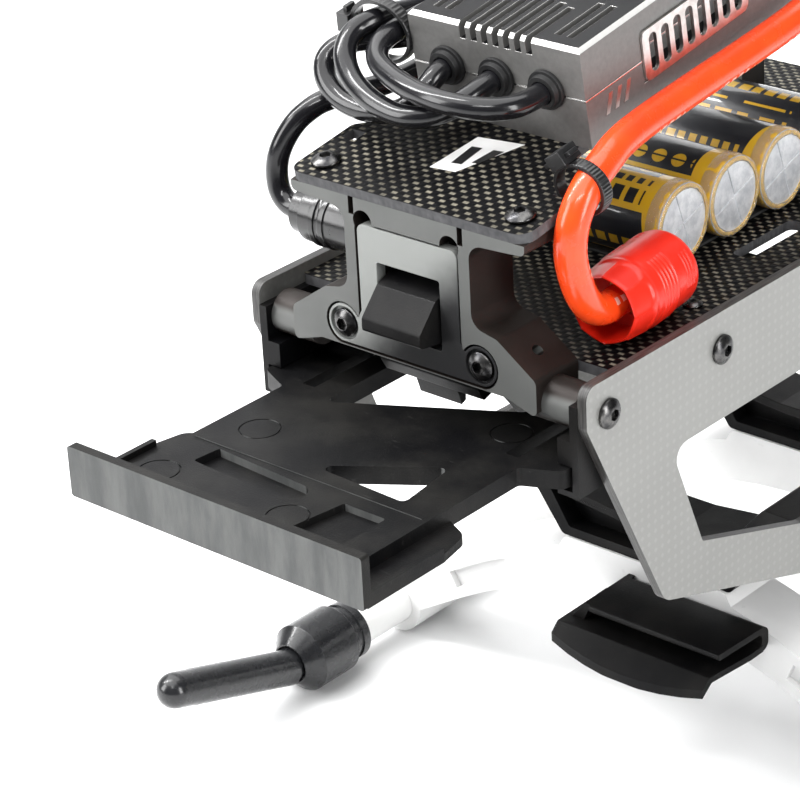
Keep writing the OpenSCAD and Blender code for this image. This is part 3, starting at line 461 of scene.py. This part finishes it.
# ---------------------------------------------------------------- CAD nodes
def smoothing(angle):
    """Node group that smooths a mesh and keeps the edges sharper than the angle."""
    group = bpy.data.node_groups.new("smooth_shade", "GeometryNodeTree")
    for way in ("INPUT", "OUTPUT"):
        group.interface.new_socket("Geometry", in_out=way, socket_type="NodeSocketGeometry")
    node = group.nodes.new
    start, end = node("NodeGroupInput"), node("NodeGroupOutput")
    drop = node("GeometryNodeRemoveAttribute")
    drop.inputs["Name"].default_value = "custom_normal"
    faces, edges = node("GeometryNodeSetShadeSmooth"), node("GeometryNodeSetShadeSmooth")
    edges.domain = "EDGE"
    edges.inputs["Shade Smooth"].default_value = False
    bend = node("GeometryNodeInputMeshEdgeAngle")
    sharp = node("FunctionNodeCompare")
    sharp.inputs[1].default_value = angle
    link = group.links.new
    link(start.outputs[0], drop.inputs["Geometry"])
    link(drop.outputs[0], faces.inputs["Geometry"])
    link(faces.outputs[0], edges.inputs["Geometry"])
    link(bend.outputs["Unsigned Angle"], sharp.inputs[0])
    link(sharp.outputs[0], edges.inputs["Selection"])
    link(edges.outputs[0], end.inputs[0])
    return group


EDGE_ANGLE = math.radians(38)
FLAT_ANGLE = math.radians(0.6)
FINE_BEVEL = 0.08
SMOOTH = smoothing(EDGE_ANGLE)


def soften(piece, width):
    """Joins a mesh's flat faces, rounds its edges and shades it smoothly."""
    weld = piece.modifiers.new("weld", "WELD")
    weld.merge_threshold = 0.002 * MM
    dissolve = piece.modifiers.new("dissolve", "DECIMATE")
    dissolve.decimate_type = "DISSOLVE"
    dissolve.angle_limit = FLAT_ANGLE
    bevel = piece.modifiers.new("bevel", "BEVEL")
    bevel.width = width * MM
    bevel.segments = 2
    bevel.limit_method = "ANGLE"
    bevel.angle_limit = EDGE_ANGLE
    shade = piece.modifiers.new("shade", "NODES")
    shade.node_group = SMOOTH
    weigh = piece.modifiers.new("weigh", "WEIGHTED_NORMAL")
    weigh.keep_sharp = True


BEVELS = {
    "battery_tray": 0.3, "front_bulkhead": 0.22, "rear_support": 0.3, "latch_plate": 0.15,
    "latch_lever": 0.25, "top_plate": 0.16, "deck_plate": 0.12, "side_plate_left": 0.18,
    "side_plate_right": 0.18, "rail_left": 0.22, "rail_right": 0.22, "esc_base": 0.25,
    "esc_cover": 0.1, "esc_grilles": 0.12, "esc_grommets": 0.2, "fan_frame": 0.25,
    "fan_rotor": 0.15, "bow_front": 0.5, "bow_rear": 0.5, "saddle_front": 0.4,
    "saddle_rear": 0.4, "belly_clip": 0.3, "wire_comb": 0.3, "red_connector": 0.15,
    "black_connector": 0.15, "cell_board": 0.15, "cell_pad": 0.1, "cell_cans": 0.08,
}
for part in frame["record"]["subparts"]:
    cad = frame["nodes"][part["node"]]
    for material_slot in cad.material_slots:
        material_slot.material = MATERIALS[part["material_slot"]]
    soften(cad, BEVELS.get(part["node"], FINE_BEVEL))


# ---------------------------------------------------------------- mesh helpers
def piece_from(name, bm, material, replaced=(), smooth=True):
    """Piece on the chassis body: a material's name fills its slot, a bare material has none."""
    mesh = bpy.data.meshes.new(name)
    bmesh.ops.recalc_face_normals(bm, faces=bm.faces)
    bm.to_mesh(mesh)
    bm.free()
    for polygon in mesh.polygons:
        polygon.use_smooth = smooth
    piece = bpy.data.objects.new(name, mesh)
    bpy.context.collection.objects.link(piece)
    mesh.materials.append(MATERIALS.get(material) or material)
    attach(piece, "chassis")
    if replaced:
        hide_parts(*replaced)
    return piece


def curve_through(points, spacing):
    """Points of a smooth curve through the given ones, about evenly spaced."""
    pts = [points[0] * 2 - points[1], *points, points[-1] * 2 - points[-2]]
    out = []
    for a, b, c, d in zip(pts, pts[1:], pts[2:], pts[3:]):
        count = max(1, round((c - b).length / spacing))
        for i in range(count):
            t = i / count
            out.append(0.5 * (2 * b + (c - a) * t + (2 * a - 5 * b + 4 * c - d) * t * t
                              + (3 * b - a - 3 * c + d) * t ** 3))
    return out + [points[-1]]


def directions(path):
    last = len(path) - 1
    return [(path[min(i + 1, last)] - path[max(i - 1, 0)]).normalized() for i in range(last + 1)]


def sweep(bm, path, radius, sides=28):
    """Tube along a path, with u round it and v its length in metres."""
    slanted = Vector((0.1, 0.2, 1))
    layer = bm.loops.layers.uv.verify()
    side = None
    rings, lengths, run = [], [], 0.0
    for i, (point, way) in enumerate(zip(path, directions(path))):
        side = (way.cross(slanted) if side is None else side - way * side.dot(way)).normalized()
        other = way.cross(side)
        run += (point - path[i - 1]).length if i else 0.0
        lengths.append(run)
        ring = [point + radius * (math.cos(a) * side + math.sin(a) * other)
                for a in (2 * math.pi * k / sides for k in range(sides))]
        rings.append([bm.verts.new(p) for p in ring])
    for i in range(len(rings) - 1):
        for k in range(sides):
            j = (k + 1) % sides
            face = bm.faces.new((rings[i][k], rings[i + 1][k], rings[i + 1][j], rings[i][j]))
            corners = ((k, i), (k, i + 1), (k + 1, i + 1), (k + 1, i))
            for loop, (a, b) in zip(face.loops, corners):
                loop[layer].uv = (a / sides, lengths[b])
    bm.faces.new(list(reversed(rings[0])))
    bm.faces.new(rings[-1])


# ---------------------------------------------------------------- leads
# Each lead: diameter, finish, and its route in the incline frame
ROUTES = {
    "phase_wire_a": (4.3, "wire_black", [
        (11.5, 31, 10.6), (11.5, 25, 10.7), (10.6, 19.6, 11.4), (6.6, 15.6, 12.3), (0, 14.2, 12.8),
        (-7, 15, 12.9), (-14.5, 17.2, 13.2), (-20.8, 20.5, 13.8), (-23.8, 25.5, 14.6),
        (-23.6, 32, 15), (-22.9, 42, 14.6), (-22.8, 58, 14.3), (-22.8, 80, 14.3),
        (-22.8, 102, 14.3), (-22.8, 121, 14.3)]),
    "phase_wire_b": (4.3, "wire_black", [
        (0, 31, 10.6), (0, 25, 10.5), (-1.2, 20, 9.6), (-4.2, 16.2, 8.3), (-8, 14.4, 7.8),
        (-12.8, 14, 7.8), (-19.3, 15, 8.9), (-25.2, 17.3, 10.8), (-28.8, 20.4, 13.6),
        (-29.6, 24.6, 15.8), (-28, 30, 16.4), (-27.4, 42, 13.6), (-27.3, 58, 11.8),
        (-27.3, 80, 11.8), (-27.3, 102, 11.8), (-27.3, 121, 11.8)]),
    "phase_wire_c": (4.3, "wire_black", [
        (-11.5, 31, 10.6), (-11.5, 25.6, 10.3), (-12.4, 22, 8.2), (-15, 19.5, 5.6),
        (-19, 18.5, 4.2), (-25.5, 18.4, 3.6), (-31, 19, 4.4), (-35.2, 20.6, 6.6), (-36.8, 23, 9.2),
        (-35.4, 26, 11), (-31.4, 29.2, 11.6), (-26.8, 34, 10.8), (-23.4, 42, 9.8), (-22.8, 58, 9.6),
        (-22.8, 80, 9.6), (-22.8, 102, 9.6), (-22.8, 121, 9.6)]),
    "red_lead": (6, "wire_red", [
        (28.7, 23.4, -24.3), (29.6, 15.8, -22.9), (29.9, 11.6, -20), (30.2, 8.9, -14.4),
        (30.4, 7.9, -7), (30.8, 9.8, -0.8), (30.8, 15, 3.4), (29.4, 22, 4.4), (28, 28, 4.4),
        (26.5, 38, 3.5), (25.4, 55, 2), (25, 71, 0.9), (25, 87, 0.6), (25, 104, 1.8),
        (24, 114.5, 3.8), (20.4, 122.6, 6), (14.4, 126.4, 7.8), (8.8, 124.4, 8.3),
        (6.6, 119.5, 8.4), (6.6, 114.5, 8.4)]),
    "black_lead": (4.4, "wire_black", [
        (-32.4, 10.1, -16.2), (-36.6, 10.1, -16.2), (-40, 10, -16.2), (-42.8, 10.6, -13.9),
        (-43.6, 11.8, -9.7), (-42.7, 13.3, -5.6), (-40.8, 15.9, -1.7), (-38.7, 18.8, 0.5),
        (-37, 21.5, 1.3), (-34, 25.7, 1.4), (-30, 32.8, 1.4), (-26, 42, 2.6), (-23.4, 54, 4.2),
        (-22.9, 66, 4.6), (-22.9, 88, 4.6), (-22.9, 112, 4.6), (-21.2, 119.4, 5.8),
        (-16.4, 124.4, 7.2), (-10.8, 124.6, 8.2), (-7.6, 122, 8.4), (-6.6, 118.4, 8.4),
        (-6.6, 114.5, 8.4)]),
}
RING_SPACING = 1.0 * MM
for lead, (diameter, finish, route) in ROUTES.items():
    tube = bmesh.new()
    sweep(tube, curve_through([incline(*p) for p in route], RING_SPACING), diameter / 2 * MM)
    piece_from(lead + "_silicone", tube, finish, replaced=(lead,))


# ---------------------------------------------------------------- cable ties
def box_piece(bm, corner_of, low, high):
    """Box between two corners, each corner placed by corner_of."""
    corners = [bm.verts.new(corner_of(x, y, z))
               for x in (low[0], high[0]) for y in (low[1], high[1]) for z in (low[2], high[2])]
    for quad in ((0, 1, 3, 2), (4, 6, 7, 5), (0, 4, 5, 1), (2, 3, 7, 6), (0, 2, 6, 4), (1, 5, 7, 3)):
        bm.faces.new([corners[i] for i in quad])


def cable_tie(name, centre, rx, rz, head_turn, node):
    """Oval strap with ribs across its face, a square head and a short cut tail."""
    bm = bmesh.new()
    x0, s0, h0 = centre
    width, thick, steps, rib_height, rib_every = 2.5, 0.8, 144, 0.16, 3
    rings = []
    for i in range(steps):
        a = 2 * math.pi * i / steps
        outer = thick + (rib_height if i % rib_every == 0 else 0.0)
        section = ((0, -width / 2), (thick, -width / 2), (outer, -width * 0.3),
                   (outer, width * 0.3), (thick, width / 2), (0, width / 2))
        cosine, sine = math.cos(a), math.sin(a)
        rings.append([bm.verts.new(incline(x0 + (rx + r) * cosine, s0 + s, h0 + (rz + r) * sine))
                      for r, s in section])
    for i in range(steps):
        ring, following = rings[i], rings[(i + 1) % steps]
        for k in range(6):
            j = (k + 1) % 6
            bm.faces.new((ring[k], ring[j], following[j], following[k]))
    turn = math.radians(head_turn)

    def place(out, s, along):
        return incline(x0 + out * math.cos(turn) + along * math.sin(turn), s0 + s,
                       h0 - out * math.sin(turn) + along * math.cos(turn))

    head_low, head_high = (rx + 0.1, -2.3, -2.0), (rx + 3.0, 2.3, 2.0)
    tail_low, tail_high = (rx + 1.1, -1.25, -3.2), (rx + 2.0, 1.25, 4.2)
    box_piece(bm, place, head_low, head_high)
    box_piece(bm, place, tail_low, tail_high)
    soften(piece_from(name, bm, "tie_black", replaced=(node,)), 0.16)


cable_tie("phase_strap", (-27.3, 29.8, 14.1), 6.6, 5.7, 185, "phase_tie")
cable_tie("lead_strap", (29.1, 15, 2.2), 4.8, 4.3, -125, "lead_tie")


# ---------------------------------------------------------------- red connector
def revolve(bm, place, profile, sides, radius_at):
    """Closed surface round an axis through profile points (along, radius), shaped by radius_at."""
    rings = []
    for along, radius in profile:
        ring = []
        for k in range(sides):
            angle = 2 * math.pi * k / sides
            r = radius_at(along, radius, angle)
            ring.append(bm.verts.new(place(along, r * math.cos(angle), r * math.sin(angle))))
        rings.append(ring)
    for ring, following in zip(rings, rings[1:] + rings[:1]):
        for k in range(sides):
            j = (k + 1) % sides
            bm.faces.new((ring[k], following[k], following[j], ring[j]))


def make_red_connector():
    """Round shell with a faceted grip at its mouth, fine ribs behind it, short ribs at its tail."""
    yaw = math.radians(7)
    mouth_x, mouth_y, axis_z = 29.6, 18.7, 7.5
    grip_faces, grip_end, bore = 8, 6.2, 6.3
    ribs_at, tail_ribs_at = (9.6, 10.7, 11.8, 12.9, 14.0), (17.6, 18.6, 19.6)

    def place(along, out, up):
        return nose(mouth_x + out * math.cos(yaw) - along * math.sin(yaw),
                    mouth_y + out * math.sin(yaw) + along * math.cos(yaw), axis_z + up)

    def radius_at(along, radius, angle):
        if radius < bore:
            return radius
        share = (angle * grip_faces / (2 * math.pi)) % 1.0 - 0.5
        if along < grip_end:
            scoop = 0.38 * math.cos(math.pi * share) ** 0.5
            fade = min(1.0, (grip_end - along) / (0.5 + 1.6 * (2 * share) ** 2))
            return radius - scoop * fade
        ribs = sum(0.24 * math.exp(-((along - rib) / 0.26) ** 2) for rib in ribs_at)
        tail_ribs = sum(0.2 * math.exp(-((along - rib) / 0.24) ** 2) for rib in tail_ribs_at)
        on_ribs, on_tail = math.cos(angle * 2) > -0.5, math.sin(angle * 3 + 0.6) > 0.2
        return radius + ribs * on_ribs + tail_ribs * on_tail

    outer = [(0.0, 6.5), (0.1, 6.75), (0.5, 6.9)]
    outer += [(0.9 + 0.2 * i, 6.95 + 0.02 * i) for i in range(27)]
    outer += [(6.3 + 0.12 * i, 7.5 - 0.1 * math.exp(-((i - 8) / 5) ** 2)) for i in range(120)]
    outer += [(20.9, 7.5), (21.5, 7.35), (21.9, 6.95), (22.0, 6.5)]
    inner = [(22.0, 4.3), (14.5, 4.2), (14.4, 3.7), (8.0, 3.7), (7.6, 6.1), (0.6, 6.1), (0.1, 6.25)]
    bm = bmesh.new()
    revolve(bm, place, outer + inner, 192, radius_at)
    shell = piece_from("red_shell", bm, "connector_red", replaced=("red_connector",))
    shade = shell.modifiers.new("shade", "NODES")
    shade.node_group = SMOOTH


make_red_connector()


# ---------------------------------------------------------------- capacitor cells
LABEL_TURN = (0.06, 0.92, 0.70, 0.35)


def cell_centres():
    """Middles of the cells in their row, and the radius of a can."""
    low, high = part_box("cell_cans")
    count = len(LABEL_TURN)
    radius = (high.z - low.z) / 2
    pitch = (high.y - low.y - 2 * radius) / (count - 1)
    return [Vector((0, low.y + radius + i * pitch, low.z + radius)) for i in range(count)], radius


CELLS, CAN_RADIUS = cell_centres()
CELL_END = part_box("cell_sleeves")[1].x
SLEEVE_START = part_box("cell_sleeves")[0].x


def ring_mesh(bm, centre, profile, sides, turn, rough, seed):
    """Rippled surface round X through (x, radius, share of ripple) points; u is turns, v length."""
    layer = bm.loops.layers.uv.verify()
    random = np.random.default_rng(seed)
    wave_count = 6
    waves = [(random.integers(5, 23), random.uniform(0, 6.28), random.uniform(0.3, 1))
             for _ in range(wave_count)]
    rings, lengths, run = [], [], 0.0
    for i, (x, radius, amount) in enumerate(profile):
        run += math.dist(profile[i][:2], profile[i - 1][:2]) if i else 0.0
        lengths.append(run)
        ring = []
        for k in range(sides):
            a = 2 * math.pi * k / sides
            swings = (size * math.sin(n * a + phase + i * 0.7) for n, phase, size in waves)
            ripple = sum(swings) / wave_count
            swell = rough * amount * ripple
            r = radius + swell
            offset = Vector((x + 0.4 * swell, r * math.cos(a), r * math.sin(a)))
            ring.append(bm.verts.new(centre + offset))
        rings.append(ring)
    for i in range(len(rings) - 1):
        for k in range(sides):
            j = (k + 1) % sides
            face = bm.faces.new((rings[i][k], rings[i + 1][k], rings[i + 1][j], rings[i][j]))
            for loop, (a, b) in zip(face.loops, ((k, i), (k, i + 1), (k + 1, i + 1), (k + 1, i))):
                loop[layer].uv = (a / sides + turn + 1, lengths[b])


def make_sleeves():
    """Printed sleeves with a rolled lip, and wrinkled clear film round their ends."""
    sleeves, film = bmesh.new(), bmesh.new()
    for i, centre in enumerate(CELLS):
        r = CAN_RADIUS + 0.2 * MM
        start, end = SLEEVE_START, CELL_END
        body = [(start, r - 0.25 * MM, 0), (start, r, 0)]
        body += [(start + (end - start - 0.9 * MM) * t / 12, r, 0.15) for t in range(1, 13)]
        lip = [(end - 0.45 * MM, r - 0.12 * MM, 0.5), (end - 0.12 * MM, r - 0.45 * MM, 0.7),
               (end - 0.03 * MM, r - 0.8 * MM, 0.8), (end - 0.1 * MM, r - 1.25 * MM, 0.6),
               (end - 0.22 * MM, r - 1.2 * MM, 0.2)]
        ring_mesh(sleeves, centre, body + lip, 96, LABEL_TURN[i], 0.12 * MM, seed=11 + i)
        ring_mesh(film, centre, [
            (end - 3.2 * MM, r + 0.02 * MM, 0.3), (end - 1.4 * MM, r + 0.05 * MM, 0.8),
            (end - 0.3 * MM, r - 0.1 * MM, 1), (end + 0.12 * MM, r - 0.55 * MM, 1),
            (end + 0.1 * MM, r - 1.0 * MM, 1),
            (end + 0.02 * MM, r - 1.3 * MM, 0.8), (end - 0.05 * MM, r - 1.2 * MM, 0.6),
            (end - 0.1 * MM, r - 0.6 * MM, 0.6), (end - 1.4 * MM, r - 0.02 * MM, 0.4),
            (end - 3.2 * MM, r - 0.03 * MM, 0.2)], 120, 0, 0.22 * MM, seed=31 + i)
    piece_from("cell_wraps", sleeves, "sleeve_yellow", replaced=("cell_sleeves",))
    piece_from("cell_film", film, clear_film())


make_sleeves()


# ---------------------------------------------------------------- plain badges
def prism(bm, outline, low, high, place):
    """Flat outline raised from low to high, each corner put in place by place."""
    bottom = [bm.verts.new(place(x, y, low)) for x, y in outline]
    top = [bm.verts.new(place(x, y, high)) for x, y in outline]
    bm.faces.new(list(reversed(bottom)))
    bm.faces.new(top)
    for i in range(len(outline)):
        j = (i + 1) % len(outline)
        bm.faces.new((bottom[i], bottom[j], top[j], top[i]))


def make_badges():
    """White panel with two black bars on the top plate, and three bars on the controller's side."""
    white = bmesh.new()
    prism(white, [(-3.6, 11.7), (1.9, 12.3), (7.4, 25.6), (-2.5, 24.2)], 0.0, 0.06, incline)
    paint = plastic("badge_white", (0.78, 0.78, 0.77), (0.88, 0.88, 0.87), 0.3)
    piece_from("top_badge", white, paint, smooth=False)
    bars = bmesh.new()
    prism(bars, [(-0.9, 14.6), (1.2, 14.9), (1.0, 21.2), (-1.2, 20.9)], 0.0, 0.12, incline)
    prism(bars, [(2.6, 16.2), (4.0, 16.4), (5.6, 21.8), (3.4, 21.5)], 0.0, 0.12, incline)
    piece_from("top_badge_bars", bars, "tie_black", smooth=False)
    chevrons = bmesh.new()
    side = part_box("esc_cover")[1].x / MM
    for i in range(3):
        s = 34.2 + 2.7 * i
        outline = [(s, 4.6), (s + 1.1, 4.6), (s + 2.6, 8.4), (s + 1.5, 8.4)]
        prism(chevrons, outline, side - 0.2, side + 0.08, lambda a, b, c: incline(c, a, b))
    piece_from("controller_bars", chevrons, "grille_silver", smooth=False)


make_badges()


# ---------------------------------------------------------------- stage
def make_stage():
    """Pale floor that rises into a backdrop behind the object."""
    bm = bmesh.new()
    reach, bend_at, bend_r = 3.0, 0.9, 0.6
    profile = [(-reach, 0.0), (bend_at, 0.0)]
    profile += [(bend_at + bend_r * math.sin(a), bend_r - bend_r * math.cos(a))
                for a in np.linspace(0.15, math.pi / 2, 10)]
    profile.append((bend_at + bend_r, reach))
    turn = Matrix.Rotation(VIEW_AZIMUTH, 3, "Z")
    rows = [[bm.verts.new(turn @ Vector((x, y, z))) for x in (-reach, reach)] for y, z in profile]
    for a, b in zip(rows, rows[1:]):
        bm.faces.new((a[0], a[1], b[1], b[0]))
    mesh = bpy.data.meshes.new("floor")
    bm.to_mesh(mesh)
    bm.free()
    for polygon in mesh.polygons:
        polygon.use_smooth = True
    floor = bpy.data.objects.new("floor", mesh)
    bpy.context.collection.objects.link(floor)
    net = Net("floor_white", Roughness=0.55)
    net.set(Base_Color=net.mix(net.noise(3, 2), (0.90, 0.905, 0.91), (0.93, 0.93, 0.93)))
    mesh.materials.append(net.material)


def area_light(name, place, target, size, power):
    data = bpy.data.lights.new(name, "AREA")
    data.shape = "RECTANGLE"
    data.size, data.size_y = size
    data.energy = power
    light = bpy.data.objects.new(name, data)
    light.location = place
    light.rotation_euler = (Vector(target) - Vector(place)).to_track_quat("-Z", "Y").to_euler()
    bpy.context.collection.objects.link(light)


def make_lights():
    """Soft overhead and side light, with two thin strips for crisp streaks."""
    middle = (0, -0.04, 0.11)
    area_light("overhead", (-0.3, -0.1, 1.3), middle, (2.0, 2.0), 40)
    area_light("front_left", (-0.75, -0.95, 0.55), middle, (0.5, 0.7), 10)
    area_light("port_side", (1.0, -0.1, 0.4), middle, (0.25, 0.7), 7)
    area_light("streak_left", (-0.5, -0.25, 0.75), middle, (0.05, 0.7), 6)
    area_light("streak_front", (0.35, -0.6, 0.85), middle, (0.5, 0.05), 3)
    world = bpy.data.worlds.new("studio")
    world.use_nodes = True
    background = world.node_tree.nodes["Background"].inputs
    background["Color"].default_value = (0.97, 0.98, 1.0, 1)
    background["Strength"].default_value = 0.16
    bpy.context.scene.world = world


make_stage()
make_lights()
bpy.context.scene.view_settings.view_transform = "Standard"
